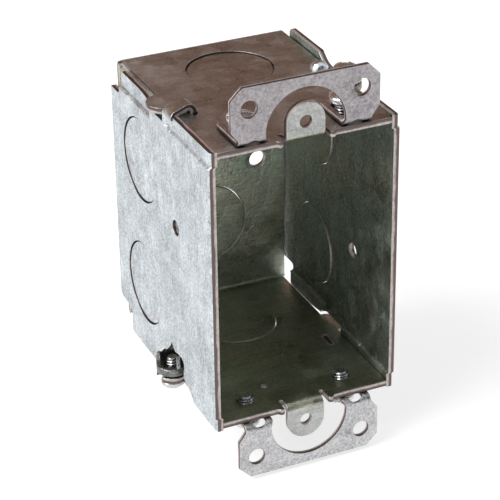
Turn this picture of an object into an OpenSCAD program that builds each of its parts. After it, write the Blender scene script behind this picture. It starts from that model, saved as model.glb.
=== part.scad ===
// Gangable steel device box with removable side panels, adjustable plaster
// ears, bent device tabs and half-inch trade size knockouts.
// Frame: +Z up, the open front faces -Y, +X to the right. The origin lies on
// the back wall's outer face, midway between the two back screw holes.
// The box looks the same when it is turned half a turn about the Y axis, so
// most corner features are drawn once and placed again by that half turn.

/* [Box] */
// Height over the top and bottom walls
box_h = 76.2; // [76.2:0.1:90]
// Width over the two side panels
box_w = 50.8; // [50.8:0.1:60]
// Depth from the front edge to the back face
box_d = 63.5; // [63.5:0.5:89]
// Thickness of the box and panel sheet
sheet_t = 1.6; // [1.4:0.05:1.7]
// Outer radius of the folded rear corners
fold_r = 2.4; // [2.1:0.1:3.5]

/* [Knockouts] */
// Diameter of a half-inch trade size knockout
knockout_dia = 22.2; // [21.8:0.1:22.6]
// Gap of the sheared ring around a knockout
knockout_gap = 0.2; // [0.15:0.05:0.3]
// How far a knockout sits in from the wall's outer face
knockout_inset = 0.25; // [0.15:0.05:0.4]
// Distance of the wall and panel knockouts from the front edge
knockout_from_front = 44.3; // [42:0.1:46]
// Height of the lower panel knockout over the bottom wall
panel_knockout_low = 20; // [19.8:0.1:22]
// Height of the upper panel knockout over the bottom wall
panel_knockout_high = 55.8; // [54:0.1:56.2]
// Half the distance between the back knockouts
back_knockout_z = 14.6; // [12.5:0.1:16]

/* [Holes] */
// Distance between the upper and lower device screw holes
device_hole_spacing = 83.34; // [83:0.01:84]
// Radius of a tapped device screw hole
device_hole_r = 1.6; // [1.4:0.05:1.75]
// Radius of the two back screw holes
back_hole_r = 2.3; // [2:0.1:2.5]
// Distance of a back screw hole from the middle, sideways
back_hole_x = 15.3; // [14.5:0.1:17]
// Distance of a back screw hole from mid height
back_hole_z = 1.6; // [0:0.1:2]
// Radius of the nail hole in a side panel
nail_hole_r = 2; // [1.5:0.1:2.5]
// Distance of the nail hole from the front edge
nail_hole_from_front = 21.5; // [18:0.5:24]
// Height of the nail hole over the bottom wall
nail_hole_h = 47.1; // [44:0.1:50]

/* [Plaster ears] */
// Width of an ear plate
ear_w = 39; // [38:0.1:42]
// Height of an ear plate beyond the box wall
ear_reach = 15.3; // [15:0.1:17]
// Thickness of the ear sheet
ear_t = 1.3; // [1.2:0.05:1.5]
// Radius of an ear hole
ear_hole_r = 2.2; // [2:0.05:2.4]
// Half the distance between the holes of one ear
ear_hole_x = 14.7; // [14.4:0.1:15]
// Distance of the ear holes beyond the box wall
ear_hole_out = 9.6; // [9.4:0.1:10]
// Radius of the arched cut-out around the device tab
ear_arch_r = 10.5; // [10:0.1:10.6]
// How far the lower ear stands in front of the box edge
lower_ear_forward = 1.8; // [0:0.1:1.9]

/* [Screws] */
// Outer radius of the ear screw threads
screw_r = 2.08; // [2.05:0.01:2.1]
// Outer radius of the panel screw threads
panel_screw_r = 1.7; // [1.65:0.01:1.75]
// Thread pitch
screw_pitch = 0.794; // [0.7:0.01:0.9]
// Head radius of the ear screws
ear_head_r = 3.6; // [3.4:0.1:3.8]
// Head radius of the panel screws
panel_head_r = 3.1; // [3:0.1:3.2]

/* [Hidden] */
$fn = 64;

front = -box_d;                       // y of the front edge
half_h = box_h / 2;                   // z of the top wall's outer face
panel_x = box_w / 2;                  // x of a panel's outer face
panel_inner_x = panel_x - sheet_t;    // x of a panel's inner face
body_gap = 0.4;                       // between a wall's edge and a panel
body_x = panel_inner_x - body_gap;    // half width of the folded walls
joggle = 0.8;                         // how far a panel's rear margins step in
margin_x = panel_x - joggle;          // outer face of such a margin
recess_x = margin_x - sheet_t - 0.2;  // wall edge beside a stepped margin
back_edge_x = body_x - 0.2;           // half width of the back wall
cut = 60;                             // longer than anything it cuts

knockout_r = knockout_dia / 2;
knockout_hole_r = knockout_r + knockout_gap;
knockout_y = front + knockout_from_front;
tie_w = 2.4;                          // width of a knockout's tie
tie_gap = 0.03;                       // left between the tie and the wall

// Corner with the panel screw, drawn at the lower left
panel_screw_x = panel_x - 0.6;
panel_screw_y = front + 28.5;
screw_bore_r = screw_r + 0.05;
screw_ear_r = 4.2;
screw_ear_slot_r = panel_screw_r + 0.25;
panel_bore_r = panel_screw_r + 0.05;
lug_r = 4.2;
lug_bottom = -half_h + sheet_t + 0.35;
lug_top = lug_bottom + 3.2;
window_top = -half_h + 7.6;
window_half_w = 5;
rim_front = front + 34.6;
rim_rear = front + 57.5;
rim_drop = 2;                         // the rim reaches below the bottom wall
rim_bend_z = -half_h + 6.6;

// Corner with the panel hook, drawn at the upper left
guide_ear_x = panel_inner_x - 1.2;
guide_ear_y = front + 33.2;
guide_ear_r = 4.6;
hook_front = front + 22.4;
hook_rear = front + 27.8;
hook_end_x = panel_x - 6.4;           // middle of the hook's down-turned end
hook_tip_z = half_h - 1.2;
hook_slot_r = 1.6;
margin_front = guide_ear_y + 5.2;
margin_rear = front + 57.5;
margin_top = half_h - 1.1;
margin_bend_z = half_h - 5.2;
under_ear_z = half_h - 2.8;
corner_notch_z = half_h - 7.2;

panel_rear = front + box_d - 0.3;
panel_over = 0.3;                     // a panel's front corners overlap the walls
panel_under = 0.5;

// Device tabs
tab_half_w = 5.1;
tab_bend_r = 0.8;                     // inner radius of the tab's bend
tab_slot_w = 1;
tab_centre_z = device_hole_spacing / 2;
tab_bend_z = half_h + tab_bend_r;
tab_bend_y = front + sheet_t + tab_bend_r;

// Ears and their screws
ear_screw_x = 13.5;
ear_screw_y = front + 7.5;
ear_gap = 0.15;                       // between an ear's leg and the wall
ear_bend_r = 0.5;
ear_leg_z = half_h + ear_gap;
ear_front = -0.1;                     // ear plate's front face, from the edge
ear_plate_bottom = ear_leg_z + ear_t + ear_bend_r;
ear_top = half_h + ear_reach;
ear_corner = 3.1;                     // size of the plate's clipped corners
ear_leg_inner = 9.8;
ear_leg_outer = 17.6;
ear_leg_end = 13.2;
ear_slot_first = 2.6;
ear_slot_last = 9.6;
ear_slot_r = screw_r + 0.17;
ear_head_gap = 1.95;                  // under the head, which stands proud
ear_head_h = 2.2;
ear_screw_tip = half_h - sheet_t - 1.7;

panel_head_gap = 0.6;
panel_head_h = 2.2;
panel_screw_len = 6.6;

thread_depth = 0.42;

// Turns its children half a turn about the Y axis.
module half_turn() {
    rotate([0, 180, 0]) children();
}

// The children, and the same again half a turn further.
module both_ways() {
    children();
    half_turn() children();
}

// A flat shape in the YZ plane, given a thickness along X.
module plate_yz(x, t) {
    translate([x, 0, 0]) rotate([90, 0, 90]) linear_extrude(t) children();
}

// A flat shape in the XZ plane, given a thickness along Y.
module plate_xz(y, t) {
    translate([0, y + t, 0]) rotate([90, 0, 0]) linear_extrude(t) children();
}

// A slot along Y: two round ends and the straight between them.
module slot_y(x, y0, y1, r, z0, h) {
    for (y = [y0, y1]) translate([x, y, z0]) cylinder(r = r, h = h);
    translate([x - r, y0, z0]) cube([2 * r, y1 - y0, h]);
}

// Side view of the folded body, open at the front, with round rear corners.
module folded_outline(back, top, r) {
    translate([front, -top]) square([back - r - front, 2 * top]);
    translate([front, r - top]) square([back - front, 2 * (top - r)]);
    for (side = [-1, 1]) translate([back - r, side * (top - r)]) circle(r);
}

// ---- Knockouts ------------------------------------------------------------

// A knockout lying in its wall, with its outer side along +Z and the tie that
// still holds it on the +X side. The wall's outer face is at z = 0.
module knockout_slug() {
    tie_end = knockout_hole_r - tie_gap;
    color("lightsteelblue")
    translate([0, 0, -knockout_inset - sheet_t]) {
        cylinder(r = knockout_r, h = sheet_t);
        intersection() {
            translate([0, -tie_w / 2, 0]) cube([tie_end, tie_w, sheet_t]);
            cylinder(r = tie_end, h = sheet_t);
        }
    }
}

module knockout_hole() {
    translate([0, 0, -cut / 4]) cylinder(r = knockout_hole_r, h = cut / 2);
}

module at_top_knockout() {
    translate([0, knockout_y, half_h]) children();
}

module at_back_upper_knockout() {
    translate([0, 0, back_knockout_z]) rotate([-90, -90, 0]) children();
}

module at_left_knockout(height) {
    translate([-panel_x, knockout_y, height - half_h]) rotate([0, -90, 0]) rotate([0, 0, 90]) children();
}

// ---- Folded body ----------------------------------------------------------

// Device tab: the wall turns up at the front and ends in a round top.
module device_tab() {
    plate_yz(-tab_half_w, 2 * tab_half_w)
        translate([tab_bend_y, tab_bend_z]) intersection() {
            difference() {
                circle(tab_bend_r + sheet_t);
                circle(tab_bend_r);
            }
            translate([-cut, -cut]) square(cut);
        }
    plate_xz(front, sheet_t) {
        translate([-tab_half_w, tab_bend_z])
            square([2 * tab_half_w, tab_centre_z - tab_bend_z]);
        translate([0, tab_centre_z]) circle(tab_half_w);
    }
}

// Room for the tab's bend and the two relief slots beside it.
module tab_relief() {
    inner = tab_half_w + tab_slot_w;
    translate([-inner, front - 1, half_h - 2 * sheet_t])
        cube([2 * inner, tab_bend_y - front + 1, 3 * sheet_t]);
    for (side = [-1, 1])
        slot_y(side * (tab_half_w + tab_slot_w / 2), front, tab_bend_y + 0.6,
               tab_slot_w / 2, half_h - 2 * sheet_t, 3 * sheet_t);
}

// Rounded burr that the press leaves on the wall's edge beside a tab.
module tab_shoulders() {
    for (side = [-1, 1])
        translate([side * (tab_half_w + tab_slot_w + 0.8), front, half_h - 0.2])
            rotate([-90, 0, 0]) cylinder(r = 0.8, h = 1.6);
}

// Fork-shaped ear that the panel screw passes through.
module screw_ear() {
    translate([-panel_screw_x, panel_screw_y, -half_h]) cylinder(r = screw_ear_r, h = sheet_t);
}

module screw_ear_slot() {
    translate([-panel_screw_x, panel_screw_y, -half_h - 1]) {
        cylinder(r = screw_ear_slot_r, h = sheet_t + 2);
        translate([-cut / 2, -screw_ear_slot_r, 0])
            cube([cut / 2, 2 * screw_ear_slot_r, sheet_t + 2]);
    }
}

// Plain rounded ear over the edge of the panel, for ganging.
module guide_ear() {
    translate([-guide_ear_x, guide_ear_y, half_h - sheet_t]) cylinder(r = guide_ear_r, h = sheet_t);
}

// Low dome pressed up beside the screw ear.
module pressed_dome() {
    dome_r = 3.4;
    translate([20.2, front + 34.2, half_h - sheet_t / 2]) intersection() {
        cylinder(r = 2.4, h = 3);
        translate([0, 0, -1]) sphere(dome_r);
    }
}

// Recesses in the wall edges beside the panels' stepped rear margins.
module edge_recesses() {
    recess_rear = -sheet_t + 0.3;
    translate([recess_x, rim_front - 0.4, half_h - 2 * sheet_t])
        cube([cut, recess_rear - rim_front + 0.4, 3 * sheet_t]);
    translate([-recess_x - cut, margin_front - 0.2, half_h - 2 * sheet_t])
        cube([cut, recess_rear - margin_front + 0.2, 3 * sheet_t]);
}

module box_body() {
    color("rosybrown") difference() {
        union() {
            difference() {
                plate_yz(-body_x, 2 * body_x) difference() {
                    folded_outline(0, half_h, fold_r);
                    translate([-0.01, 0])
                        folded_outline(-sheet_t, half_h - sheet_t, fold_r - sheet_t);
                }
                both_ways() edge_recesses();
                both_ways() tab_relief();
                for (side = [-1, 1])
                    translate([side > 0 ? back_edge_x : -back_edge_x - cut, -2 * sheet_t, -30])
                        cube([cut, 3 * sheet_t, 60]);
            }
            both_ways() device_tab();
            both_ways() tab_shoulders();
            both_ways() screw_ear();
            both_ways() guide_ear();
            both_ways() pressed_dome();
        }
        both_ways() screw_ear_slot();
        both_ways() slot_y(-hook_end_x, hook_front - 0.7 + hook_slot_r, hook_rear + 0.7 - hook_slot_r,
                           hook_slot_r, half_h - 2 * sheet_t, 3 * sheet_t);
        both_ways() at_top_knockout() knockout_hole();
        both_ways() at_back_upper_knockout() knockout_hole();
        both_ways() translate([back_hole_x, -cut / 4, back_hole_z])
            rotate([-90, 0, 0]) cylinder(r = back_hole_r, h = cut / 2);
        both_ways() translate([0, front - 1, tab_centre_z])
            rotate([-90, 0, 0]) cylinder(r = device_hole_r, h = sheet_t + 2);
        both_ways() for (side = [-1, 1])
            translate([side * ear_screw_x, ear_screw_y, half_h - 2 * sheet_t])
                cylinder(r = screw_bore_r, h = 3 * sheet_t);
        both_ways() translate([6.6, front + 11.4, half_h - 2 * sheet_t])
            cylinder(r = 0.8, h = 3 * sheet_t);
    }
}

// ---- Side panels ----------------------------------------------------------

// Outline of the flat face, in the YZ plane: the lower edge from the front,
// past the lug to the stepped margin, the rear edge, and back along the top.
module panel_face_outline() {
    low = -half_h;
    polygon([
        [front, low - panel_under],
        [panel_screw_y - window_half_w, low - panel_under],
        [panel_screw_y - window_half_w, lug_bottom],
        [rim_front, lug_bottom],
        [rim_front, rim_bend_z],
        [panel_rear - 0.9, rim_bend_z + 0.4],
        [panel_rear, rim_bend_z + 1.8],
        [panel_rear, corner_notch_z],
        [margin_rear, corner_notch_z],
        [margin_rear, margin_bend_z],
        [margin_front, margin_bend_z],
        [margin_front - 0.3, under_ear_z],
        [hook_rear + 0.3, under_ear_z],
        [hook_rear, half_h + panel_over],
        [front, half_h + panel_over]
    ]);
}

// Stepped margins: the lower one ends in the rim, the upper one under the wall.
module panel_margins() {
    overlap = 1.2;
    plate_yz(-margin_x, sheet_t) {
        translate([rim_front, -half_h - rim_drop])
            square([rim_rear - rim_front, rim_bend_z + overlap + half_h + rim_drop]);
        polygon([
            [margin_front, margin_bend_z - overlap],
            [margin_rear, margin_bend_z - overlap],
            [margin_rear, margin_top],
            [margin_front + 6, margin_top],
            [margin_front, margin_top - 0.8]
        ]);
    }
}

// Hook at the top: it rises over the wall's edge and drops into the wall's slot.
module panel_hook() {
    outer = hook_end_x - sheet_t / 2;
    inner = hook_end_x + sheet_t / 2;
    plate_xz(hook_front, hook_rear - hook_front) polygon([
        [-panel_x, half_h - 1],
        [-panel_inner_x, half_h - 1],
        [-panel_inner_x, half_h + 0.2],
        [-inner - 0.7, half_h + 1.9],
        [-inner, half_h + 1.7],
        [-inner, hook_tip_z],
        [-outer, hook_tip_z],
        [-outer, half_h + 2.7],
        [-inner - 1, half_h + 3.5],
        [-panel_x, half_h + 1]
    ]);
}

// Tapped lug pressed out at the bottom, cut off flat on the inside.
module panel_lug() {
    inner = 3.4;
    intersection() {
        translate([-panel_screw_x, panel_screw_y, lug_bottom])
            cylinder(r = lug_r, h = lug_top - lug_bottom);
        translate([-panel_screw_x - cut + inner, panel_screw_y - cut / 2, -cut])
            cube([cut, cut, cut]);
    }
}

module panel_window() {
    corner_r = 2;
    plate_yz(-panel_x - 1, sheet_t + 2) {
        translate([panel_screw_y - window_half_w, lug_top])
            square([2 * window_half_w, window_top - corner_r - lug_top]);
        translate([panel_screw_y - window_half_w + corner_r, lug_top])
            square([2 * (window_half_w - corner_r), window_top - lug_top]);
        for (side = [-1, 1])
            translate([panel_screw_y + side * (window_half_w - corner_r), window_top - corner_r])
                circle(corner_r);
    }
}

module side_panel() {
    color("lightsteelblue") difference() {
        union() {
            plate_yz(-panel_x, sheet_t) panel_face_outline();
            panel_margins();
            panel_hook();
            panel_lug();
        }
        panel_window();
        translate([-panel_screw_x, panel_screw_y, lug_bottom - 1])
            cylinder(r = panel_bore_r, h = lug_top - lug_bottom + 2);
        for (height = [panel_knockout_low, panel_knockout_high])
            at_left_knockout(height) knockout_hole();
        translate([-panel_x - 1, front + nail_hole_from_front, nail_hole_h - half_h])
            rotate([0, 90, 0]) cylinder(r = nail_hole_r, h = sheet_t + 2);
    }
}

module left_side_panel() {
    side_panel();
}

module right_side_panel() {
    half_turn() side_panel();
}

// ---- Plaster ears ---------------------------------------------------------

module ear_plate_outline() {
    half_w = ear_w / 2;
    low_corner = 2.4;
    difference() {
        polygon([
            [-ear_leg_outer, ear_plate_bottom],
            [ear_leg_outer, ear_plate_bottom],
            [half_w, ear_plate_bottom + low_corner],
            [half_w, ear_top - ear_corner],
            [half_w - ear_corner, ear_top],
            [ear_corner - half_w, ear_top],
            [-half_w, ear_top - ear_corner],
            [-half_w, ear_plate_bottom + low_corner]
        ]);
        translate([0, half_h + 2]) circle(ear_arch_r);
        translate([-ear_arch_r, half_h - 1]) square([2 * ear_arch_r, 3]);
        for (side = [-1, 1])
            translate([side * ear_hole_x, half_h + ear_hole_out]) circle(ear_hole_r);
    }
}

// One leg: the bend below the plate and the flat that lies on the wall.
module ear_leg(side) {
    bend_y = front + ear_front + ear_t + ear_bend_r;
    bend_z = ear_leg_z + ear_t + ear_bend_r;
    inner = side * ear_leg_inner;
    outer = side * ear_leg_outer;
    x0 = min(inner, outer);
    leg_w = ear_leg_outer - ear_leg_inner;
    plate_yz(x0, leg_w) translate([bend_y, bend_z]) intersection() {
        difference() {
            circle(ear_bend_r + ear_t);
            circle(ear_bend_r);
        }
        translate([-cut, -cut]) square(cut);
    }
    translate([x0, bend_y, ear_leg_z]) cube([leg_w, front + ear_leg_end - bend_y, ear_t]);
}

module plaster_ear() {
    color("thistle") difference() {
        union() {
            plate_xz(front + ear_front, ear_t) ear_plate_outline();
            for (side = [-1, 1]) ear_leg(side);
        }
        plate_xz(front + ear_front - 1, ear_t + 2) translate([0, half_h + 2]) circle(ear_arch_r);
        for (side = [-1, 1])
            slot_y(side * ear_screw_x, front + ear_slot_first, front + ear_slot_last,
                   ear_slot_r, half_h - 1, ear_t + 1.2);
    }
}

module upper_plaster_ear() {
    plaster_ear();
}

module lower_plaster_ear() {
    translate([0, -lower_ear_forward, 0]) half_turn() plaster_ear();
}

// ---- Screws ---------------------------------------------------------------

// Half section of a shank with thread grooves, from z = 0 down to its tip.
function shank_points(r, len) = concat(
    [[0, 0], [r, 0]],
    [for (i = [1 : floor((len - 1) / screw_pitch)]) each [
        [r, -i * screw_pitch + 0.45 * screw_pitch],
        [r - thread_depth, -i * screw_pitch + 0.2 * screw_pitch],
        [r, -i * screw_pitch]]],
    [[r, 0.5 - len], [r - 0.5, -len], [0, -len]]);

// Slotted screw pointing down, with the underside of its head at z = 0.
module slotted_screw(r, head_r, head_h, len, slot_w, turn) {
    dome_r = head_r * 1.25;
    color("dimgray") {
        difference() {
            intersection() {
                cylinder(r = head_r, h = head_h);
                translate([0, 0, head_h - dome_r]) sphere(dome_r);
            }
            rotate([0, 0, turn]) translate([-slot_w / 2, -head_r - 1, head_h * 0.5])
                cube([slot_w, 2 * head_r + 2, head_h]);
        }
        rotate_extrude() polygon(shank_points(r, len));
    }
}

module ear_screw(side, turn) {
    head_z = ear_leg_z + ear_t + ear_head_gap;
    translate([side * ear_screw_x, ear_screw_y, head_z])
        slotted_screw(screw_r, ear_head_r, ear_head_h, head_z - ear_screw_tip, 1.2, turn);
}

module upper_left_ear_screw() {
    ear_screw(-1, 60);
}

module upper_right_ear_screw() {
    ear_screw(1, 20);
}

module lower_left_ear_screw() {
    half_turn() ear_screw(1, 75);
}

module lower_right_ear_screw() {
    half_turn() ear_screw(-1, 40);
}

// Panel screw at the upper right, pointing down into the right panel's lug.
module right_panel_screw() {
    translate([panel_screw_x, panel_screw_y, half_h + panel_head_gap])
        slotted_screw(panel_screw_r, panel_head_r, panel_head_h, panel_screw_len, 1.8, -23);
}

module left_panel_screw() {
    half_turn() right_panel_screw();
}

// ---- Placed knockouts -----------------------------------------------------

module top_knockout() {
    at_top_knockout() knockout_slug();
}

module bottom_knockout() {
    half_turn() top_knockout();
}

module back_upper_knockout() {
    at_back_upper_knockout() knockout_slug();
}

module back_lower_knockout() {
    half_turn() back_upper_knockout();
}

module left_upper_knockout() {
    at_left_knockout(panel_knockout_high) knockout_slug();
}

module left_lower_knockout() {
    at_left_knockout(panel_knockout_low) knockout_slug();
}

module right_upper_knockout() {
    half_turn() left_lower_knockout();
}

module right_lower_knockout() {
    half_turn() left_upper_knockout();
}

box_body();
left_side_panel();
right_side_panel();
upper_plaster_ear();
lower_plaster_ear();
left_panel_screw();
right_panel_screw();
upper_left_ear_screw();
upper_right_ear_screw();
lower_left_ear_screw();
lower_right_ear_screw();
top_knockout();
bottom_knockout();
back_upper_knockout();
back_lower_knockout();
left_upper_knockout();
left_lower_knockout();
right_upper_knockout();
right_lower_knockout();
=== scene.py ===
import math

import bmesh
import bpy
from mathutils import Euler, Matrix, Vector


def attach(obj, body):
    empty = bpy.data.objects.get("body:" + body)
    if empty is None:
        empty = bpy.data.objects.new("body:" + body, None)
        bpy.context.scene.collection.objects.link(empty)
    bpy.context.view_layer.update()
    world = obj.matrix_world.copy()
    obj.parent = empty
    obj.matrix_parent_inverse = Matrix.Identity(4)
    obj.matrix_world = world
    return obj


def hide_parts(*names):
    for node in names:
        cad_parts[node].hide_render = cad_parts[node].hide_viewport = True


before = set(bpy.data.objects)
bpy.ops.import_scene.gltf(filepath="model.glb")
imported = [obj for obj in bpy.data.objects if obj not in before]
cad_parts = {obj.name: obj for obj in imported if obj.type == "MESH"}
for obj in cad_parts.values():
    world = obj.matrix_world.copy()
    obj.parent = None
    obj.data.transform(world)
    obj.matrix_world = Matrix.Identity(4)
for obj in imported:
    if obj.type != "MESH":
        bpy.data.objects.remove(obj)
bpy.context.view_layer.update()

# ---------------------------------------------------------------------------
# Folded box body. One punched blank of galvanised steel gives the top, back and
# bottom walls and the two device tabs. All sizes are millimetres in the frame
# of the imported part. The helpers that every section uses are here too.
# ---------------------------------------------------------------------------
MM = 0.001
SHEET = 1.6
FRONT = -63.5
HALF_H = 38.1
SCREW_Y = FRONT + 28.5
SCREW_X = 24.8
KNOCKOUT_R = 11.08
KNOCKOUT_HOLE_R = 11.3
KNOCKOUT_Y = FRONT + 44.3
BACK_KNOCKOUT_Z = 14.6
EAR_SCREW_X = 13.5
EAR_SCREW_Y = FRONT + 7.5
HALF_TURN = Matrix.Rotation(math.pi, 4, "Y")


def arc(x, y, r, first, last, step=8.0):
    """Points of an arc from one angle to the other, in degrees."""
    count = max(2, int(abs(last - first) / step) + 1)
    points = []
    for i in range(count):
        a = math.radians(first + (last - first) * i / (count - 1))
        points.append((x + r * math.cos(a), y + r * math.sin(a)))
    return points


def circle(x, y, r):
    """A closed circle."""
    return arc(x, y, r, 0, 360, 6.0)[:-1]


def slot(x, y0, y1, r):
    """A closed slot whose two round ends are centred at y0 and y1."""
    return arc(x, y1, r, 0, 180, 12) + arc(x, y0, r, 180, 360, 12)


def turned(points):
    """The same pattern points turned half a turn about the middle."""
    return [(-x, -y) for x, y in points]


def flat_sheet(outline, holes, thickness=SHEET, edge=0.2):
    """A punched flat sheet lying in XY about z = 0, with slightly rounded edges.

    Its points carry their depth through the sheet, from 0 on one face to 1 on the other.
    """
    curve = bpy.data.curves.new("blank", "CURVE")
    curve.dimensions = "2D"
    curve.fill_mode = "BOTH"
    curve.extrude = thickness / 2 - edge
    curve.bevel_depth = edge
    curve.bevel_resolution = 1
    curve.offset = -edge
    for loop in [outline] + holes:
        spline = curve.splines.new("POLY")
        spline.points.add(len(loop) - 1)
        for point, (x, y) in zip(spline.points, loop):
            point.co = (x, y, 0, 1)
        spline.use_cyclic_u = True
    holder = bpy.data.objects.new("blank", curve)
    bpy.context.scene.collection.objects.link(holder)
    bpy.context.view_layer.update()
    mesh = bpy.data.meshes.new_from_object(holder.evaluated_get(bpy.context.evaluated_depsgraph_get()))
    bpy.data.objects.remove(holder)
    bm = bmesh.new()
    bm.from_mesh(mesh)
    bpy.data.meshes.remove(mesh)
    bmesh.ops.remove_doubles(bm, verts=bm.verts, dist=0.002)
    bm.normal_update()
    for face in bm.faces:
        face.material_index = 1 if abs(face.normal.z) < 0.45 else 0
    depth = bm.verts.layers.float.new("depth")
    for vert in bm.verts:
        vert[depth] = vert.co.z / thickness + 0.5
    return bm


def rule(bm, axis, places):
    """Cuts extra edges across a sheet at the given places, so it can bend there."""
    normal = Vector((1, 0, 0)) if axis == "x" else Vector((0, 1, 0))
    for place in places:
        geometry = bm.verts[:] + bm.edges[:] + bm.faces[:]
        bmesh.ops.bisect_plane(bm, geom=geometry, dist=0.0005, plane_co=normal * place, plane_no=normal)


def spread(low, high, count):
    """Evenly spaced places from low to high."""
    return [low + (high - low) * i / (count - 1) for i in range(count)]


def join(bm, part):
    """Adds another mesh to this one."""
    mesh = bpy.data.meshes.new("part")
    part.to_mesh(mesh)
    part.free()
    bm.from_mesh(mesh)
    bpy.data.meshes.remove(mesh)


def finish_piece(bm, name, node, body, materials, place=None):
    """Turns the mesh from millimetres into a shaded object that stands for its CAD node."""
    bmesh.ops.recalc_face_normals(bm, faces=bm.faces)
    mesh = bpy.data.meshes.new(name)
    bm.to_mesh(mesh)
    bm.free()
    if place:
        mesh.transform(place)
    mesh.transform(Matrix.Scale(MM, 4))
    for polygon in mesh.polygons:
        polygon.use_smooth = True
    mesh.set_sharp_from_angle(angle=math.radians(50))
    for material in materials:
        mesh.materials.append(material)
    piece = bpy.data.objects.new(name, mesh)
    bpy.context.scene.collection.objects.link(piece)
    weights = piece.modifiers.new("face weights", "WEIGHTED_NORMAL")
    weights.keep_sharp = True
    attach(piece, body)
    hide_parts(node)
    return piece


def node_group(name, inputs, outputs):
    """A shader node group with the given named sockets."""
    tree = bpy.data.node_groups.new(name, "ShaderNodeTree")
    for label, kind, value in inputs:
        socket = tree.interface.new_socket(label, in_out="INPUT", socket_type="NodeSocket" + kind)
        if value is not None:
            socket.default_value = value
    for label, kind in outputs:
        tree.interface.new_socket(label, in_out="OUTPUT", socket_type="NodeSocket" + kind)
    return tree, tree.nodes.new("NodeGroupInput"), tree.nodes.new("NodeGroupOutput")


def add(tree, kind, values=None, links=None, **settings):
    """One shader node with its settings, socket values and incoming links."""
    node = tree.nodes.new("ShaderNode" + kind)
    for key, value in settings.items():
        setattr(node, key, value)
    for key, value in (values or {}).items():
        node.inputs[key].default_value = value
    for key, source in (links or {}).items():
        tree.links.new(source, node.inputs[key])
    return node


def ramp(tree, source, stops):
    """A colour ramp over grey stops given as (position, grey)."""
    node = add(tree, "ValToRGB", links={0: source})
    while len(node.color_ramp.elements) < len(stops):
        node.color_ramp.elements.new(0.5)
    for element, (position, grey) in zip(node.color_ramp.elements, stops):
        element.position = position
        element.color = (grey, grey, grey, 1)
    return node.outputs[0]


def blend_colours(tree, factor, first, second, mode="MIX"):
    """Mixes two colours; each one is an output socket or an RGB tuple."""
    node = add(tree, "Mix", data_type="RGBA", blend_type=mode)
    for index, value in ((0, factor), (6, first), (7, second)):
        if isinstance(value, bpy.types.NodeSocket):
            tree.links.new(value, node.inputs[index])
        elif index == 0:
            node.inputs[0].default_value = value
        else:
            node.inputs[index].default_value = (*value, 1)
    return node.outputs[2]


def calc(tree, operation, first, second=0.0, third=0.0, clamp=False):
    """A maths node on two or three sockets or numbers."""
    node = add(tree, "Math", operation=operation, use_clamp=clamp)
    for index, value in enumerate((first, second, third)):
        if isinstance(value, bpy.types.NodeSocket):
            tree.links.new(value, node.inputs[index])
        else:
            node.inputs[index].default_value = value
    return node.outputs[0]


# Zinc spangle: flat crystals a few millimetres across, each a little lighter
# or darker, with wandering borders.
spangle, g_in, g_out = node_group(
    "zinc spangle", [("Vector", "Vector", None), ("Flakes", "Float", 260.0), ("Wander", "Float", 0.0016)],
    [("Tone", "Float"), ("Border", "Float")])
warp = add(spangle, "TexNoise", {"Scale": 420.0, "Detail": 3.0}, {"Vector": g_in.outputs["Vector"]})
centred = add(spangle, "VectorMath", {1: (0.5, 0.5, 0.5)}, {0: warp.outputs["Color"]}, operation="SUBTRACT")
scaled = add(spangle, "VectorMath", {}, {0: centred.outputs[0], "Scale": g_in.outputs["Wander"]},
             operation="SCALE")
moved = add(spangle, "VectorMath", {}, {0: g_in.outputs["Vector"], 1: scaled.outputs[0]}, operation="ADD")
cells = add(spangle, "TexVoronoi", {}, {"Vector": moved.outputs[0], "Scale": g_in.outputs["Flakes"]},
            feature="SMOOTH_F1")
cells.inputs["Smoothness"].default_value = 0.35
rims = add(spangle, "TexVoronoi", {}, {"Vector": moved.outputs[0], "Scale": g_in.outputs["Flakes"]},
           feature="DISTANCE_TO_EDGE")
tone = add(spangle, "SeparateColor", {}, {0: cells.outputs["Color"]})
spangle.links.new(tone.outputs[0], g_out.inputs["Tone"])
spangle.links.new(ramp(spangle, rims.outputs["Distance"], [(0.0, 1.0), (0.05, 0.0)]), g_out.inputs["Border"])

# Cloudy weathering: soft dull patches where the zinc has greyed.
clouds, g_in, g_out = node_group(
    "dull patches", [("Vector", "Vector", None), ("Scale", "Float", 60.0), ("Contrast", "Float", 1.0)],
    [("Patches", "Float"), ("Specks", "Float")])
broad = add(clouds, "TexNoise", {"Detail": 6.0, "Roughness": 0.62, "Distortion": 0.8},
            {"Vector": g_in.outputs["Vector"], "Scale": g_in.outputs["Scale"]})
swing = calc(clouds, "SUBTRACT", broad.outputs[0], 0.5)
lifted = calc(clouds, "MULTIPLY_ADD", swing, g_in.outputs["Contrast"], 0.5, clamp=True)
specks = add(clouds, "TexNoise", {"Scale": 1500.0, "Detail": 2.0, "Roughness": 0.7},
             {"Vector": g_in.outputs["Vector"]})
clouds.links.new(ramp(clouds, lifted, [(0.22, 0.0), (0.78, 1.0)]), g_out.inputs["Patches"])
clouds.links.new(ramp(clouds, specks.outputs[0], [(0.36, 0.0), (0.66, 1.0)]), g_out.inputs["Specks"])

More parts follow.
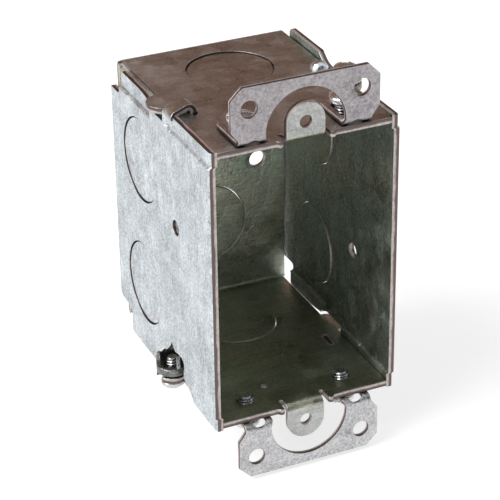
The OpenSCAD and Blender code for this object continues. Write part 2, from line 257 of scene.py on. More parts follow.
# Rolling grain: fine streaks along one direction, drawn out by the mill.
grain, g_in, g_out = node_group(
    "rolling grain", [("Vector", "Vector", None), ("Stretch", "Vector", (60.0, 1400.0, 1400.0))],
    [("Streaks", "Float"), ("Height", "Float")])
drawn = add(grain, "VectorMath", {}, {0: g_in.outputs["Vector"], 1: g_in.outputs["Stretch"]},
            operation="MULTIPLY")
lines = add(grain, "TexNoise", {"Scale": 1.0, "Detail": 5.0, "Roughness": 0.6}, {"Vector": drawn.outputs[0]})
wide = add(grain, "VectorMath", {1: (0.3, 0.3, 0.3)}, {0: drawn.outputs[0]}, operation="MULTIPLY")
bands = add(grain, "TexNoise", {"Scale": 1.0, "Detail": 3.0}, {"Vector": wide.outputs[0]})
both = calc(grain, "ADD", calc(grain, "MULTIPLY", lines.outputs[0], 0.6),
            calc(grain, "MULTIPLY", bands.outputs[0], 0.4))
grain.links.new(ramp(grain, both, [(0.34, 0.0), (0.66, 1.0)]), g_out.inputs["Streaks"])
grain.links.new(lines.outputs[0], g_out.inputs["Height"])

# Scratches from handling: long thin lines that come and go.
scratches, g_in, g_out = node_group(
    "handling scratches", [("Vector", "Vector", None), ("Amount", "Float", 0.5)], [("Lines", "Float")])
found = None
for turn, squeeze, size in ((0.5, 0.07, 190.0), (1.9, 0.05, 150.0), (2.7, 0.09, 240.0)):
    spun = add(scratches, "Mapping", {"Rotation": (turn, turn * 0.7, turn), "Scale": (1.0, squeeze, 1.0)},
               {"Vector": g_in.outputs["Vector"]})
    web = add(scratches, "TexVoronoi", {"Scale": size}, {"Vector": spun.outputs[0]},
              feature="DISTANCE_TO_EDGE")
    patchy = add(scratches, "TexNoise", {"Scale": 90.0 + size * 0.3, "Detail": 2.0},
                 {"Vector": spun.outputs[0]})
    thin = ramp(scratches, web.outputs["Distance"], [(0.0, 1.0), (0.012, 0.0)])
    here = calc(scratches, "MULTIPLY", thin, ramp(scratches, patchy.outputs[0], [(0.5, 0.0), (0.62, 1.0)]))
    found = here if found is None else calc(scratches, "MAXIMUM", found, here)
scratches.links.new(calc(scratches, "MULTIPLY", found, g_in.outputs["Amount"]), g_out.inputs["Lines"])

# Edge wear: how sharply the surface turns here.
edges, g_in, g_out = node_group("edge wear", [("Width", "Float", 0.0006)], [("Edge", "Float")])
rounded = add(edges, "Bevel", {}, {"Radius": g_in.outputs["Width"]}, samples=4)
true_face = add(edges, "NewGeometry")
match = add(edges, "VectorMath", {}, {0: rounded.outputs[0], 1: true_face.outputs["Normal"]},
            operation="DOT_PRODUCT")
turning = calc(edges, "SUBTRACT", 1.0, match.outputs["Value"])
edges.links.new(ramp(edges, turning, [(0.01, 0.0), (0.2, 1.0)]), g_out.inputs["Edge"])


def use(tree, group, values=None, links=None):
    """Places a shared node group in a material."""
    node = tree.nodes.new("ShaderNodeGroup")
    node.node_tree = group
    for key, value in (values or {}).items():
        node.inputs[key].default_value = value
    for key, source in (links or {}).items():
        tree.links.new(source, node.inputs[key])
    return node


def zinc_sheet(name, dark, light, stretch, roughness, patch_scale, flakes, contrast, bump, grit,
               inner=(1.0, 1.0, 1.0)):
    """Galvanised sheet: spangle and dull patches over a streaky rolled surface.

    The inner tint is painted shade and reflected tint on the face of depth 1, which lies inside the box, but
    not on the device tabs. Crevices get painted shade as well.
    """
    material = bpy.data.materials.new(name)
    material.use_nodes = True
    tree = material.node_tree
    shader = tree.nodes["Principled BSDF"]
    place = add(tree, "TexCoord").outputs["Object"]
    crystals = use(tree, spangle, {"Flakes": flakes}, {"Vector": place})
    patches = use(tree, clouds, {"Scale": patch_scale, "Contrast": contrast}, {"Vector": place})
    streaks = use(tree, grain, {"Stretch": stretch}, {"Vector": place})
    marks = use(tree, scratches, {"Amount": 0.22}, {"Vector": place})
    rims = use(tree, edges, {"Width": 0.0005})
    tone = calc(tree, "ADD", calc(tree, "MULTIPLY", crystals.outputs["Tone"], 0.2),
                calc(tree, "MULTIPLY", patches.outputs["Patches"], 0.3))
    tone = calc(tree, "ADD", tone, calc(tree, "MULTIPLY", streaks.outputs["Streaks"], 0.28))
    tone = calc(tree, "ADD", tone, calc(tree, "MULTIPLY", patches.outputs["Specks"], grit), clamp=True)
    colour = blend_colours(tree, tone, dark, light)
    colour = blend_colours(tree, calc(tree, "MULTIPLY", marks.outputs["Lines"], 0.7), colour, (0.9, 0.9, 0.9))
    colour = blend_colours(tree, calc(tree, "MULTIPLY", rims.outputs["Edge"], 0.5), colour, (0.82, 0.8, 0.78))
    depth = add(tree, "Attribute", attribute_name="depth").outputs["Fac"]
    parts = add(tree, "SeparateXYZ", {}, {0: place})
    on_tab = calc(tree, "MULTIPLY",
                  calc(tree, "GREATER_THAN", calc(tree, "ABSOLUTE", parts.outputs["Z"]), (HALF_H + 0.3) * MM),
                  calc(tree, "LESS_THAN", calc(tree, "ABSOLUTE", parts.outputs["X"]), 5.5 * MM))
    # Painted shade: the inner tint, drifting browner here and there, darkens and tints the inside faces the
    # way the box's own shade and reflections do.
    inside = calc(tree, "SUBTRACT", ramp(tree, depth, [(0.55, 0.0), (0.9, 1.0)]), on_tab, clamp=True)
    drift = add(tree, "TexNoise", {"Scale": 38.0, "Detail": 3.0, "Distortion": 0.6}, {"Vector": place})
    brown = (inner[0] * 1.12, inner[1] * 0.96, inner[2] * 0.9)
    painted_inside_shade = blend_colours(tree, ramp(tree, drift.outputs[0], [(0.35, 0.0), (0.65, 1.0)]), inner, brown)
    colour = blend_colours(tree, inside, colour, painted_inside_shade, "MULTIPLY")
    # Painted shade: crevices, grooves, folds and contact lines are darkened towards near black.
    hollow = add(tree, "AmbientOcclusion", {"Distance": 0.0008}, samples=6)
    painted_crevice_shade = ramp(tree, hollow.outputs["AO"], [(0.35, 0.8), (0.85, 0.0)])
    colour = blend_colours(tree, painted_crevice_shade, colour, (0.04, 0.036, 0.032))
    tree.links.new(colour, shader.inputs["Base Color"])
    shader.inputs["Metallic"].default_value = 1.0
    rough = calc(tree, "MULTIPLY_ADD", patches.outputs["Patches"], 0.18, roughness - 0.09)
    rough = calc(tree, "MULTIPLY_ADD", crystals.outputs["Tone"], 0.1, rough)
    rough = calc(tree, "MULTIPLY_ADD", marks.outputs["Lines"], -0.15, rough, clamp=True)
    tree.links.new(rough, shader.inputs["Roughness"])
    height = calc(tree, "MULTIPLY_ADD", streaks.outputs["Height"], 0.5,
                  calc(tree, "MULTIPLY", crystals.outputs["Tone"], 0.5))
    height = calc(tree, "MULTIPLY_ADD", patches.outputs["Specks"], 0.25, height)
    height = calc(tree, "MULTIPLY_ADD", marks.outputs["Lines"], -0.6, height)
    relief = add(tree, "Bump", {"Strength": bump, "Distance": 0.0004}, {"Height": height})
    tree.links.new(relief.outputs[0], shader.inputs["Normal"])
    return material


def cut_edge(name, burnished_dark_reflection, torn):
    """The sheared edge of a sheet: smooth near one face, where its dark brown is a painted dark reflection,
    pale and torn near the other.
    """
    material = bpy.data.materials.new(name)
    material.use_nodes = True
    tree = material.node_tree
    shader = tree.nodes["Principled BSDF"]
    place = add(tree, "TexCoord").outputs["Object"]
    depth = add(tree, "Attribute", attribute_name="depth").outputs["Fac"]
    ragged = add(tree, "TexNoise", {"Scale": 900.0, "Detail": 5.0, "Roughness": 0.7}, {"Vector": place})
    blotch = add(tree, "TexNoise", {"Scale": 260.0, "Detail": 3.0}, {"Vector": place})
    wander = calc(tree, "MULTIPLY_ADD", calc(tree, "SUBTRACT", blotch.outputs[0], 0.5), 0.5, depth)
    zone = ramp(tree, wander, [(0.46, 0.0), (0.66, 1.0)])
    grit = ramp(tree, ragged.outputs[0], [(0.35, 0.0), (0.65, 1.0)])
    pale = blend_colours(tree, calc(tree, "MULTIPLY", grit, 0.45), torn, burnished_dark_reflection)
    tree.links.new(blend_colours(tree, zone, burnished_dark_reflection, pale), shader.inputs["Base Color"])
    shader.inputs["Metallic"].default_value = 0.9
    tree.links.new(calc(tree, "MULTIPLY_ADD", zone, 0.25, 0.3), shader.inputs["Roughness"])
    height = calc(tree, "MULTIPLY", ragged.outputs[0], zone)
    relief = add(tree, "Bump", {"Strength": 0.5, "Distance": 0.0003}, {"Height": height})
    tree.links.new(relief.outputs[0], shader.inputs["Normal"])
    return material


# The inner tint of each sheet is painted inside shade and reflected tint.
wall_zinc = zinc_sheet("galvanised wall", dark=(0.175, 0.18, 0.172), light=(0.65, 0.655, 0.635),
                       stretch=(110.0, 2600.0, 2600.0), roughness=0.3, patch_scale=70.0, flakes=240.0,
                       contrast=1.5, bump=0.35, grit=0.26, inner=(1.02, 1.13, 0.98))
# Painted highlight: the nub's pale bluish colour is a lighter copy of the wall zinc, standing in for its
# bright sheen.
nub_zinc_painted_sheen = zinc_sheet("pressed nub, painted sheen", dark=(0.3, 0.34, 0.37), light=(0.85, 0.9, 0.94),
                      stretch=(400.0, 400.0, 400.0), roughness=0.2, patch_scale=200.0, flakes=900.0,
                      contrast=1.2, bump=0.2, grit=0.3)
# The dark brown of the burnished band is a painted dark reflection.
sheared = cut_edge("sheared edge", burnished_dark_reflection=(0.13, 0.1, 0.09), torn=(0.62, 0.56, 0.54))

# The blank is drawn flat: x across, s along from the middle of the back wall.
FOLD_MID = 1.6
FOLD_OUT = FOLD_MID + SHEET / 2
FOLD_START = HALF_H - FOLD_OUT
FOLD_LENGTH = FOLD_MID * math.pi / 2
TOP_START = FOLD_START + FOLD_LENGTH
TAB_BEND_Y = FRONT + FOLD_OUT
TAB_W = 5.1
TAB_HOLE_Z = 41.67
EDGE_X = 23.4
BACK_EDGE_X = 23.55
RECESS_X = 22.8
REAR_CORNER_Y = -1.3
EAR_R = 4.2
FORK_R = 1.95
GUIDE_X = 22.6
GUIDE_R = 4.6
LIP_R = 0.8


def along(y):
    """Length along the blank of a point of the top wall."""
    return TOP_START - FOLD_OUT - y


def follow(start, runs, s):
    """Place and heading at length s along a bent strip, from (length, turn) runs."""
    y, z, heading = start
    for length, turn in runs:
        part = min(s, length)
        if turn:
            radius = length / math.radians(turn)
            new = heading + math.radians(turn) * part / length
            y += radius * (math.sin(new) - math.sin(heading))
            z += radius * (math.cos(heading) - math.cos(new))
            heading = new
        else:
            y += part * math.cos(heading)
            z += part * math.sin(heading)
        s -= part
        if s <= 0:
            break
    return y, z, heading


def lay(bm, start, runs, tab_runs=None, tab_x=0.0, both_ends=False):
    """Bends a flat sheet: x stays, y runs along the strip, z is the thickness."""
    for vert in bm.verts:
        x, s, t = vert.co
        flip = both_ends and s < 0
        if flip:
            x, s = -x, -s
        path = tab_runs if tab_runs and abs(x) < tab_x else runs
        y, z, heading = follow(start, path, s)
        y -= t * math.sin(heading)
        z += t * math.cos(heading)
        vert.co = (-x, y, -z) if flip else (x, y, z)


fork_turn = math.degrees(math.asin(FORK_R / EAR_R))
edge_turn = math.degrees(math.acos((EDGE_X - SCREW_X) / EAR_R))
guide_front = math.degrees(math.acos((GUIDE_X - EDGE_X) / GUIDE_R))
guide_rear = math.degrees(math.acos((GUIDE_X - RECESS_X) / GUIDE_R))
s_screw = along(SCREW_Y)
s_guide = along(FRONT + 33.2)
s_front = along(FRONT)
s_rear = along(REAR_CORNER_Y)
tab_end = along(TAB_BEND_Y) + FOLD_LENGTH + TAB_HOLE_Z - (HALF_H + LIP_R)
relief_end = along(TAB_BEND_Y + 0.6)

# Half of the outline, from the right edge of the back wall round to its left edge.
half_blank = [(BACK_EDGE_X, 0.0), (EDGE_X, 30.0), (EDGE_X, s_rear), (RECESS_X, s_rear),
              (RECESS_X, along(-29.3)), (EDGE_X, along(-29.3))]
half_blank += arc(SCREW_X, s_screw, EAR_R, -edge_turn, -fork_turn)
half_blank += [(27.0, s_screw - FORK_R)] + arc(SCREW_X, s_screw, FORK_R, 270, 90, 15)
half_blank += [(27.0, s_screw + FORK_R)]
half_blank += arc(SCREW_X, s_screw, EAR_R, fork_turn, edge_turn)
half_blank += [(EDGE_X, s_front - 0.5), (EDGE_X - 0.5, s_front), (8.0, s_front)]
half_blank += arc(6.9, s_front, LIP_R, 20, 160, 20)
half_blank += [(6.1, relief_end)] + arc(5.6, relief_end, 0.5, 0, -180, 30) + [(TAB_W, s_front)]
half_blank += arc(0, tab_end, TAB_W, 0, 180, 7)
half_blank += [(-TAB_W, s_front)] + arc(-5.6, relief_end, 0.5, 0, -180, 30) + [(-6.1, relief_end)]
half_blank += arc(-6.9, s_front, LIP_R, 20, 160, 20)
half_blank += [(-8.0, s_front), (0.5 - EDGE_X, s_front), (-EDGE_X, s_front - 0.5)]
half_blank += arc(-GUIDE_X, s_guide, GUIDE_R, guide_front, 360 - guide_rear, 8)
half_blank += [(-RECESS_X, along(-25.3)), (-RECESS_X, s_rear), (-EDGE_X, s_rear), (-EDGE_X, 30.0),
               (-BACK_EDGE_X, 0.0)]
half_holes = [circle(0, along(KNOCKOUT_Y), KNOCKOUT_HOLE_R), circle(0, BACK_KNOCKOUT_Z, KNOCKOUT_HOLE_R),
              circle(15.3, 1.6, 2.3), circle(0, tab_end, 1.6), circle(6.6, along(FRONT + 11.4), 0.8),
              circle(EAR_SCREW_X, along(EAR_SCREW_Y), 2.13), circle(-EAR_SCREW_X, along(EAR_SCREW_Y), 2.13),
              slot(-19.0, along(-36.6), along(-40.2), 1.05)]
blank_holes = half_holes + [turned(loop) for loop in half_holes]
blank = flat_sheet(half_blank + turned(half_blank), blank_holes)
bend_lines = spread(FOLD_START, TOP_START, 9) + spread(along(TAB_BEND_Y), along(TAB_BEND_Y) + FOLD_LENGTH, 7)
bend_lines += [6.0, 20.0, 30.0, 50.0, 62.0, 74.0, 86.0]
rule(blank, "y", [line * side for line in bend_lines for side in (-1, 1)])
rule(blank, "x", [-22.0, -17.0, -11.0, -5.6, 0.0, 5.6, 11.0, 17.0, 22.0])
REST = (500.0, 0)
wall_runs = [(FOLD_START, 0), (FOLD_LENGTH, 90), REST]
tab_runs = wall_runs[:2] + [(-FOLD_OUT - TAB_BEND_Y, 0), (FOLD_LENGTH, -90), REST]
lay(blank, (-SHEET / 2, 0.0, math.pi / 2), wall_runs, tab_runs, TAB_W + 0.25, both_ends=True)

# A round nub pressed up beside each slotted screw ear.
for place in (Matrix.Identity(4), HALF_TURN):
    dome = bmesh.new()
    bmesh.ops.create_uvsphere(dome, u_segments=28, v_segments=16, radius=2.4)
    bmesh.ops.scale(dome, vec=(1, 1, 0.95), verts=dome.verts)
    bmesh.ops.translate(dome, vec=(20.2, FRONT + 34.2, HALF_H - 0.1), verts=dome.verts)
    dome.transform(place)
    for face in dome.faces:
        face.material_index = 2
    join(blank, dome)
finish_piece(blank, "folded_walls", "box_body", "box", [wall_zinc, sheared, nub_zinc_painted_sheen])

# ---------------------------------------------------------------------------
# Side panels. Each is one punched plate of the same sheet, its rear margins
# stepped in to sit beside the walls, with a hook at one end and a pressed
# pocket for the panel screw at the other. Both sides are the same part.
# ---------------------------------------------------------------------------
panel_zinc = zinc_sheet("galvanised panel", dark=(0.16, 0.18, 0.19), light=(0.73, 0.78, 0.81),
                        stretch=(900.0, 1300.0, 260.0), roughness=0.42, patch_scale=85.0, flakes=300.0,
                        contrast=1.7, bump=0.8, grit=0.48, inner=(0.64, 0.7, 0.6))
# Painted shade and dark reflection: the lug and hood of the screw pocket get a near-black copy of the panel
# zinc.
pocket_zinc_painted_dark = zinc_sheet("drawn pocket, painted dark reflection", dark=(0.04, 0.043, 0.04), light=(0.3, 0.31, 0.3),
                          stretch=(400.0, 400.0, 2600.0), roughness=0.26, patch_scale=220.0, flakes=900.0,
                          contrast=1.6, bump=0.4, grit=0.3)
PANEL_X = 24.6
PANEL_HOLES = ((KNOCKOUT_Y, 17.7, KNOCKOUT_HOLE_R), (KNOCKOUT_Y, -18.1, KNOCKOUT_HOLE_R), (-42.0, 9.0, 2.0))
REAR_LOW = -32.4
REAR_HIGH = 32.8
FRONT_HIGH = 34.6
FRONT_LOW = -35.1
REAR_STEP = 0.8
FRONT_STEP = 0.55
FLARE = 2.2
LUG_LOW = -36.15
LUG_T = 2.2


def smooth(value, low, high):
    """0 below low, 1 above high, and a soft step between."""
    t = min(1.0, max(0.0, (value - low) / (high - low)))
    return t * t * (3 - 2 * t)


def fold(z, place):
    """The step of a pressed margin, from 0 to 1, with the groove that the press leaves along it."""
    return smooth(z, place - 0.25, place + 0.25) + 0.45 * math.exp(-((z - place) / 0.26) ** 2)


def panel_step(y, z):
    """How far the panel's sheet stands in from its flat face, in millimetres."""
    rear = max(smooth(y, -30.5, -28.9) * fold(-z, -REAR_LOW), smooth(y, -27.0, -26.2) * fold(z, REAR_HIGH))
    front = max((1 - smooth(y, -37.0, -36.0)) * fold(z, FRONT_HIGH),
                (1 - smooth(y, -46.5, -45.0)) * fold(-z, -FRONT_LOW))
    crease = math.exp(-((z - 32.6 + 1.1 * (y + 36.0)) / 1.1) ** 2) * smooth(y, -39.5, -37.5) * (
        1 - smooth(y, -35.0, -33.6)) * smooth(z, 26.0, 34.0)
    flare = math.exp(-((y - FRONT - 32.0) / 4.2) ** 4) * (1 - smooth(z, -33.5, -26.0))
    rim = 0.35 * (1 - smooth(y, FRONT, FRONT + 0.8))
    return REAR_STEP * rear + FRONT_STEP * front + 0.5 * crease + rim - FLARE * flare


def pocket_ring(outer, inner, first, last, thickness, edge, middle, step=6):
    """Part of a ring about the panel screw, its middle at the given height."""
    loop = arc(-SCREW_X, SCREW_Y, outer, first, last, step) + arc(-SCREW_X, SCREW_Y, inner, last, first, step)
    ring = flat_sheet(loop, [], thickness, edge)
    bmesh.ops.translate(ring, verts=ring.verts, vec=(0, 0, middle))
    return ring


# The torn mouth of the pocket, from its front corner over the spike to the rear: back from the
# front edge, up from the outside of the bottom wall.
mouth = [(14.5, -0.3), (18.0, 3.0), (19.6, 5.0), (19.6, 6.6), (19.0, 7.6), (19.3, 9.0), (20.4, 9.9),
         (22.6, 9.9), (25.0, 9.4), (26.2, 10.2), (27.0, 11.2), (27.6, 9.8), (28.6, 8.4), (29.7, 8.0),
         (30.4, 6.9), (32.0, 6.3), (33.4, 4.6), (35.0, 2.4), (37.6, 0.1)]
panel_outline = [(FRONT, -38.6)] + [(FRONT + y, z - HALF_H) for y, z in mouth]
panel_outline += [(-23.9, -39.5), (-23.1, -40.1), (-6.8, -40.1), (-6.0, -39.3), (-6.0, -31.5), (-1.2, -31.1),
                  (-0.3, -29.7), (-0.3, 30.9), (-5.4, 30.9), (-6.0, 31.5), (-6.0, 36.6), (-6.6, 37.0),
                  (-19.1, 37.0), (-25.1, 36.2), (-25.4, 35.3), (-35.4, 35.3), (-35.7, 38.4), (FRONT, 38.4)]
hook_outline = [(0.0, -41.1), (1.6, -40.7), (9.1, -40.4), (9.3, -40.0), (9.3, -36.6), (9.1, -36.2),
                (1.6, -35.9), (0.0, -35.7)]
hook_runs = [(0.1, 0), (1.4, -70), (3.2, 0), (2.6, -110), (9, 0)]
for name, place in (("left_side_panel", Matrix.Identity(4)), ("right_side_panel", HALF_TURN)):
    plate = flat_sheet(panel_outline, [circle(*hole) for hole in PANEL_HOLES])
    rule(plate, "x", spread(-47, -25, 33) + [-63.0, -62.7, -60.0, -52.0, -20.0, -12.0, -5.0])
    for margin in (REAR_LOW, FRONT_LOW, REAR_HIGH, FRONT_HIGH):
        rule(plate, "y", spread(margin - 0.65, margin + 0.65, 11))
    rule(plate, "y", spread(-38, -24, 14) + [0.0, 10.0, 20.0, 26.0, 28.0, 30.0, 31.0])
    for vert in plate.verts:
        y, z, t = vert.co
        vert.co = (t - PANEL_X + panel_step(y, z), y, z)
    lug = flat_sheet(arc(-SCREW_X, SCREW_Y, EAR_R, 35.9, 324.1, 5), [circle(-SCREW_X, SCREW_Y, 1.75)],
                     LUG_T, 0.45)
    bmesh.ops.translate(lug, verts=lug.verts, vec=(0, 0, LUG_LOW + LUG_T / 2))
    hood = pocket_ring(4.3, 3.2, -30, 150, 3.4, 0.3, LUG_LOW + 1.2 + 1.7)
    lip = pocket_ring(4.3, 3.95, 264, 276, 3.9, 0.12, -31.8, 4)
    hook = flat_sheet(hook_outline, [])
    rule(hook, "x", spread(0.3, 9.0, 26))
    for vert in hook.verts:
        along_hook, x, t = vert.co
        rise, z, heading = follow((-PANEL_X, 37.6, math.pi / 2), hook_runs, along_hook)
        vert.co = (rise + t * math.sin(heading), x, z - t * math.cos(heading))
    for part, surface in ((lug, 2), (hood, 2), (hook, 3), (lip, 0)):
        for face in part.faces:
            face.material_index = 1 if part is hook and face.material_index == 1 else surface
        join(plate, part)
    finish_piece(plate, name + "_plate", name, name,
                 [panel_zinc, sheared, pocket_zinc_painted_dark, wall_zinc], place)

# ---------------------------------------------------------------------------
# Knockouts. Discs sheared almost free of the walls and pushed in slightly;
# each still hangs on one narrow tie, its far side a little deeper.
# ---------------------------------------------------------------------------
TIE_END = KNOCKOUT_HOLE_R - 0.03
TIE_HALF = 1.2
DROOP = math.radians(-0.55)
SLUG_IN = 0.27 + SHEET / 2
slug_turn = math.degrees(math.asin(TIE_HALF / KNOCKOUT_R))
slug_outline = [(TIE_END, -TIE_HALF), (TIE_END, TIE_HALF)]
slug_outline += arc(0, 0, KNOCKOUT_R, slug_turn, 360 - slug_turn, 6)


def slug_place(tie, side, out, place):
    """The matrix that puts a slug with its tie along one direction and its outside along another."""
    return Matrix.Translation(place) @ Matrix((tie, side, out)).transposed().to_4x4()


top_place = slug_place((1, 0, 0), (0, 1, 0), (0, 0, 1), (0, KNOCKOUT_Y, HALF_H - SLUG_IN))
back_place = slug_place((0, 0, 1), (1, 0, 0), (0, 1, 0), (0, -SLUG_IN, BACK_KNOCKOUT_Z))
left_high, left_low = (
    slug_place((0, 1, 0), (0, 0, -1), (-1, 0, 0), (-PANEL_X - SHEET / 2 + SLUG_IN, y, z))
    for y, z, radius in PANEL_HOLES[:2])
for name, place, material in (
        ("top_knockout", top_place, wall_zinc),
        ("bottom_knockout", HALF_TURN @ top_place, wall_zinc),
        ("back_upper_knockout", back_place, wall_zinc),
        ("back_lower_knockout", HALF_TURN @ back_place, wall_zinc),
        ("left_upper_knockout", left_high, panel_zinc),
        ("left_lower_knockout", left_low, panel_zinc),
        ("right_upper_knockout", HALF_TURN @ left_low, panel_zinc),
        ("right_lower_knockout", HALF_TURN @ left_high, panel_zinc)):
    slug = flat_sheet(slug_outline, [], SHEET, 0.28)
    about_tie = Matrix.Translation((TIE_END, 0, -SHEET / 2))
    slug.transform(about_tie @ Matrix.Rotation(DROOP, 4, "Y") @ about_tie.inverted())
    depth = slug.verts.layers.float["depth"]
    for vert in slug.verts:
        vert[depth] = 1 - vert[depth]
    finish_piece(slug, name + "_disc", name, name, [material, sheared], place)

# ---------------------------------------------------------------------------
# Plaster ears. Thinner galvanised strip, punched with an arch that clears the
# device tab, two screw holes and clipped corners, its two slotted legs folded
# back over the wall.
# ---------------------------------------------------------------------------
EAR_T = 1.3
EAR_TOP = 53.4
EAR_HALF = 19.5
EAR_BEND_MID = 1.15
LEG_IN = 9.8
LEG_OUT = 17.6
CLIP = 0.8
LEG_SLOT_Y = (-60.9, -53.9)
# The two ears are one strip in two copies: the upper painted darker and the lower painted lighter, as the
# light falls on them.
ear_zinc_painted_darker = zinc_sheet("galvanised ear strip", dark=(0.15, 0.142, 0.147), light=(0.5, 0.465, 0.48),
                      stretch=(1100.0, 700.0, 700.0), roughness=0.38, patch_scale=120.0, flakes=420.0,
                      contrast=1.5, bump=0.5, grit=0.46)
ear_strip_painted_lighter = zinc_sheet("galvanised ear strip, painted lighter", dark=(0.17, 0.174, 0.178), light=(0.7, 0.69, 0.7),
                          stretch=(1100.0, 700.0, 700.0), roughness=0.38, patch_scale=120.0, flakes=420.0,
                          contrast=1.7, bump=0.5, grit=0.46)
BEND_S = EAR_TOP - 40.05
BEND_LENGTH = EAR_BEND_MID * math.pi / 2
LEG_END = BEND_S + BEND_LENGTH + 11.5
ear_side = [(16.4, 0.0), (EAR_HALF, 3.1), (EAR_HALF, BEND_S - 2.4), (LEG_OUT, BEND_S + 0.2),
            (LEG_OUT, LEG_END - CLIP), (LEG_OUT - CLIP, LEG_END), (LEG_IN + CLIP, LEG_END),
            (LEG_IN, LEG_END - CLIP), (LEG_IN, BEND_S + 1.2)]
ear_outline = ear_side + [(10.5, BEND_S)] + arc(0, BEND_S - 0.05, 10.5, 0, -180, 5)[1:]
ear_outline += [(-x, s) for x, s in reversed(ear_side)]
leg_s = BEND_S + BEND_LENGTH + 61.8
for name, place, material in (
        ("upper_plaster_ear", Matrix.Identity(4), ear_zinc_painted_darker),
        ("lower_plaster_ear", Matrix.Translation((0, -1.8, 0)) @ HALF_TURN, ear_strip_painted_lighter)):
    holes = [circle(side * 14.7, EAR_TOP - 47.7, 2.2) for side in (-1, 1)]
    holes += [slot(side * EAR_SCREW_X, leg_s + LEG_SLOT_Y[0], leg_s + LEG_SLOT_Y[1], 2.25)
              for side in (-1, 1)]
    strip = flat_sheet(ear_outline, holes, EAR_T, 0.18)
    rule(strip, "y", spread(BEND_S, BEND_S + BEND_LENGTH, 8) + [4.0, 9.0])
    rule(strip, "x", [-17.0, -12.0, -6.0, 0.0, 6.0, 12.0, 17.0])
    lay(strip, (-62.95, EAR_TOP, -math.pi / 2), [(BEND_S, 0), (BEND_LENGTH, 90), REST])
    finish_piece(strip, name + "_strip", name, name, [material, sheared], place)

# ---------------------------------------------------------------------------
# Screws. Cold-headed slotted machine screws with rolled threads, zinc plated;
# four hold the ears and two hold the side panels.
# ---------------------------------------------------------------------------
PITCH = 0.794
HEAD_H = 2.2


def plated_steel(name):
    """Bright zinc plate on rolled steel, with painted shade in the thread grooves and other crevices."""
    material = bpy.data.materials.new(name)
    material.use_nodes = True
    tree = material.node_tree
    shader = tree.nodes["Principled BSDF"]
    place = add(tree, "TexCoord").outputs["Object"]
    film = use(tree, clouds, {"Scale": 500.0, "Contrast": 1.4}, {"Vector": place})
    rub = use(tree, edges, {"Width": 0.0003})
    # Painted shade: crevices near other surfaces are darkened towards black.
    hidden = add(tree, "AmbientOcclusion", {"Distance": 0.0012}, samples=6)
    colour = blend_colours(tree, film.outputs["Patches"], (0.38, 0.39, 0.4), (0.75, 0.76, 0.77))
    colour = blend_colours(tree, calc(tree, "MULTIPLY", rub.outputs["Edge"], 0.7), colour, (0.85, 0.85, 0.84))
    colour = blend_colours(tree, ramp(tree, hidden.outputs["AO"], [(0.05, 0.8), (0.45, 0.0)]), colour,
                           (0.03, 0.03, 0.03))
    # Painted shade: the thread roots are darkened towards black.
    root = add(tree, "Attribute", attribute_name="depth").outputs["Fac"]
    colour = blend_colours(tree, calc(tree, "MULTIPLY", root, 0.9), colour, (0.02, 0.02, 0.02))
    tree.links.new(colour, shader.inputs["Base Color"])
    shader.inputs["Metallic"].default_value = 1.0
    tree.links.new(calc(tree, "MULTIPLY_ADD", film.outputs["Specks"], 0.2, 0.18), shader.inputs["Roughness"])
    relief = add(tree, "Bump", {"Strength": 0.2, "Distance": 0.0002}, {"Height": film.outputs["Specks"]})
    tree.links.new(relief.outputs[0], shader.inputs["Normal"])
    return material


screw_steel = plated_steel("plated screw steel")


def threaded_shank(shank_r, length, around=36, per_pitch=8):
    """A shank along -Z from z = 0 with one helical thread and a chamfered tip.

    Its points carry how deep they lie in the thread, from 0 on the crest to 1 at the root.
    """
    bm = bmesh.new()
    root = bm.verts.layers.float.new("depth")
    rows = int(length / PITCH * per_pitch)
    rings = []
    for row in range(rows + 1):
        depth = length * row / rows
        fade = min(1.0, depth / 0.9) * min(1.0, (length - depth) / 0.3 + 0.2)
        tip = 0.5 * smooth(depth, length - 0.6, length)
        ring = []
        for i in range(around):
            phase = (depth / PITCH + i / around) % 1.0
            groove = 0.42 * (1 - abs(2 * phase - 1)) ** 1.2 * fade
            r = shank_r - groove - tip
            a = 2 * math.pi * i / around
            ring.append(bm.verts.new((r * math.cos(a), r * math.sin(a), -depth)))
            ring[-1][root] = min(1.0, groove / 0.3)
        rings.append(ring)
    for upper, lower in zip(rings, rings[1:]):
        for i in range(around):
            j = (i + 1) % around
            bm.faces.new((upper[i], lower[i], lower[j], upper[j]))
    bm.faces.new(rings[-1][::-1])
    bm.faces.new(rings[0])
    return bm


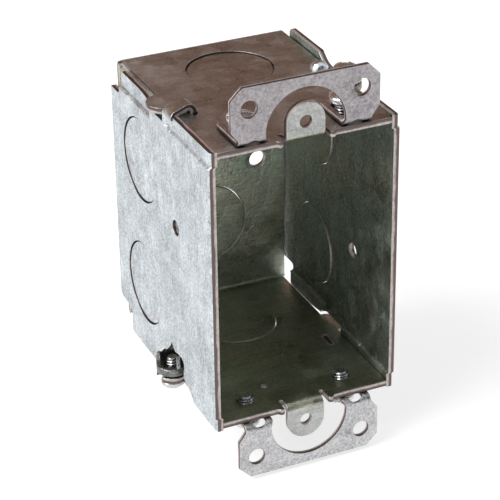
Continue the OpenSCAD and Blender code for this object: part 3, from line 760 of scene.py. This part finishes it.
def slotted_head(radius, height, slot_w, turn):
    """A low domed head with a driver slot cut straight across."""
    profile = [(0.0, 0.0), (radius - 0.25, 0.0), (radius, 0.25), (radius, height * 0.45)]
    profile += [(radius * math.cos(a), height * (0.45 + 0.55 * math.sin(a)))
                for a in (0.25, 0.5, 0.75, 1.0, 1.25)] + [(0.0, height)]
    bm = bmesh.new()
    chain = [bm.verts.new((x, 0, z)) for x, z in profile]
    wires = [bm.edges.new(pair) for pair in zip(chain, chain[1:])]
    bmesh.ops.spin(bm, geom=chain + wires, axis=(0, 0, 1), cent=(0, 0, 0), steps=48, angle=2 * math.pi)
    bmesh.ops.remove_doubles(bm, verts=bm.verts, dist=0.001)
    bmesh.ops.recalc_face_normals(bm, faces=bm.faces)
    cutter = bmesh.new()
    bmesh.ops.create_cube(cutter, size=1.0)
    bmesh.ops.scale(cutter, vec=(slot_w, radius * 3, height), verts=cutter.verts)
    bmesh.ops.translate(cutter, vec=(0, 0, height), verts=cutter.verts)
    objects = []
    for source in (bm, cutter):
        mesh = bpy.data.meshes.new("head")
        source.to_mesh(mesh)
        source.free()
        holder = bpy.data.objects.new("head", mesh)
        bpy.context.scene.collection.objects.link(holder)
        objects.append(holder)
    carve = objects[0].modifiers.new("slot", "BOOLEAN")
    carve.operation = "DIFFERENCE"
    carve.object = objects[1]
    bevel = objects[0].modifiers.new("burr", "BEVEL")
    bevel.width = 0.08
    bevel.segments = 2
    bevel.limit_method = "ANGLE"
    bpy.context.view_layer.update()
    mesh = bpy.data.meshes.new_from_object(objects[0].evaluated_get(bpy.context.evaluated_depsgraph_get()))
    for holder in objects:
        bpy.data.objects.remove(holder)
    mesh.transform(Matrix.Rotation(math.radians(turn), 4, "Z"))
    return mesh


EAR_HEAD_Z = 38.25 + EAR_T + 1.95
ear_screw = {"shank_r": 2.08, "length": EAR_HEAD_Z - (HALF_H - SHEET - 1.7), "head_r": 3.6, "slot_w": 1.2}
panel_screw = {"shank_r": 1.7, "length": 6.6, "head_r": 3.1, "slot_w": 1.8}
ear_left = Matrix.Translation((-EAR_SCREW_X, EAR_SCREW_Y, EAR_HEAD_Z))
ear_right = Matrix.Translation((EAR_SCREW_X, EAR_SCREW_Y, EAR_HEAD_Z))
panel_top = Matrix.Translation((SCREW_X, SCREW_Y, HALF_H + 0.6))
for name, place, size, turn in (
        ("upper_left_ear_screw", ear_left, ear_screw, 60),
        ("upper_right_ear_screw", ear_right, ear_screw, 20),
        ("lower_left_ear_screw", HALF_TURN @ ear_right, ear_screw, 75),
        ("lower_right_ear_screw", HALF_TURN @ ear_left, ear_screw, 35.5),
        ("right_panel_screw", panel_top, panel_screw, -23),
        ("left_panel_screw", HALF_TURN @ panel_top, panel_screw, -23)):
    screw = threaded_shank(size["shank_r"], size["length"])
    head = slotted_head(size["head_r"], HEAD_H, size["slot_w"], turn)
    screw.from_mesh(head)
    bpy.data.meshes.remove(head)
    finish_piece(screw, name + "_threaded", name, name, [screw_steel], place)

# ---------------------------------------------------------------------------
# Camera, pale floor, soft studio lights and a warm card behind the box.
# ---------------------------------------------------------------------------
camera_data = bpy.data.cameras.new("camera")
camera_data.sensor_width = 36.0
camera_data.lens = 142.42
camera_data.shift_x = 0.0007
camera_data.shift_y = -0.028
camera = bpy.data.objects.new("camera", camera_data)
camera.location = (-0.18501, -0.44309, 0.23725)
camera.rotation_euler = Euler([math.radians(v) for v in (61.8465, 0.7513, -24.5241)], "XYZ")
bpy.context.scene.collection.objects.link(camera)
bpy.context.scene.camera = camera


def plain(name, colour, roughness, glow=0.0):
    """A plain matt stage material, lit a little from within if asked."""
    material = bpy.data.materials.new(name)
    material.use_nodes = True
    shader = material.node_tree.nodes["Principled BSDF"]
    shader.inputs["Base Color"].default_value = (*colour, 1)
    shader.inputs["Roughness"].default_value = roughness
    shader.inputs["Emission Color"].default_value = (1, 1, 1, 1)
    shader.inputs["Emission Strength"].default_value = glow
    return material


def board(name, corners, material):
    """A flat rectangle of the stage, given by its four corners in metres."""
    mesh = bpy.data.meshes.new(name)
    mesh.from_pydata(corners, [], [(0, 1, 2, 3)])
    mesh.materials.append(material)
    piece = bpy.data.objects.new(name, mesh)
    bpy.context.scene.collection.objects.link(piece)


def softbox(name, place, aim, size, watts, colour=(1, 1, 1)):
    """A square area light turned towards a point."""
    light = bpy.data.lights.new(name, "AREA")
    light.size = size
    light.energy = watts
    light.color = colour
    lamp = bpy.data.objects.new(name, light)
    lamp.location = place
    lamp.rotation_euler = (Vector(aim) - Vector(place)).to_track_quat("-Z", "Y").to_euler()
    bpy.context.scene.collection.objects.link(lamp)


FLOOR_Z = -0.0545
board("floor", [(-4, -4, FLOOR_Z), (4, -4, FLOOR_Z), (4, 4, FLOOR_Z), (-4, 4, FLOOR_Z)],
      plain("white floor", (0.42, 0.42, 0.42), 0.9, 0.68))
board("warm_card", [(-1.2, 0.9, 0.1), (2.2, 0.9, 0.1), (2.2, 0.9, 2.6), (-1.2, 0.9, 2.6)],
      plain("brown card", (0.25, 0.13, 0.085), 0.9))
board("dark_flag", [(-1.5, -1.3, 0.3), (2.2, -1.3, 0.3), (2.2, -1.3, 2.4), (-1.5, -1.3, 2.4)],
      plain("dark flag", (0.03, 0.03, 0.03), 0.9))
softbox("key light", place=(-1.3, -0.2, 1.4), aim=(0, -0.03, 0), size=1.2, watts=35.5)
world = bpy.data.worlds.new("studio")
world.use_nodes = True
world.node_tree.nodes["Background"].inputs["Color"].default_value = (0.93, 0.97, 1.0, 1)
world.node_tree.nodes["Background"].inputs["Strength"].default_value = 0.95
bpy.context.scene.world = world
bpy.context.scene.view_settings.view_transform = "Standard"
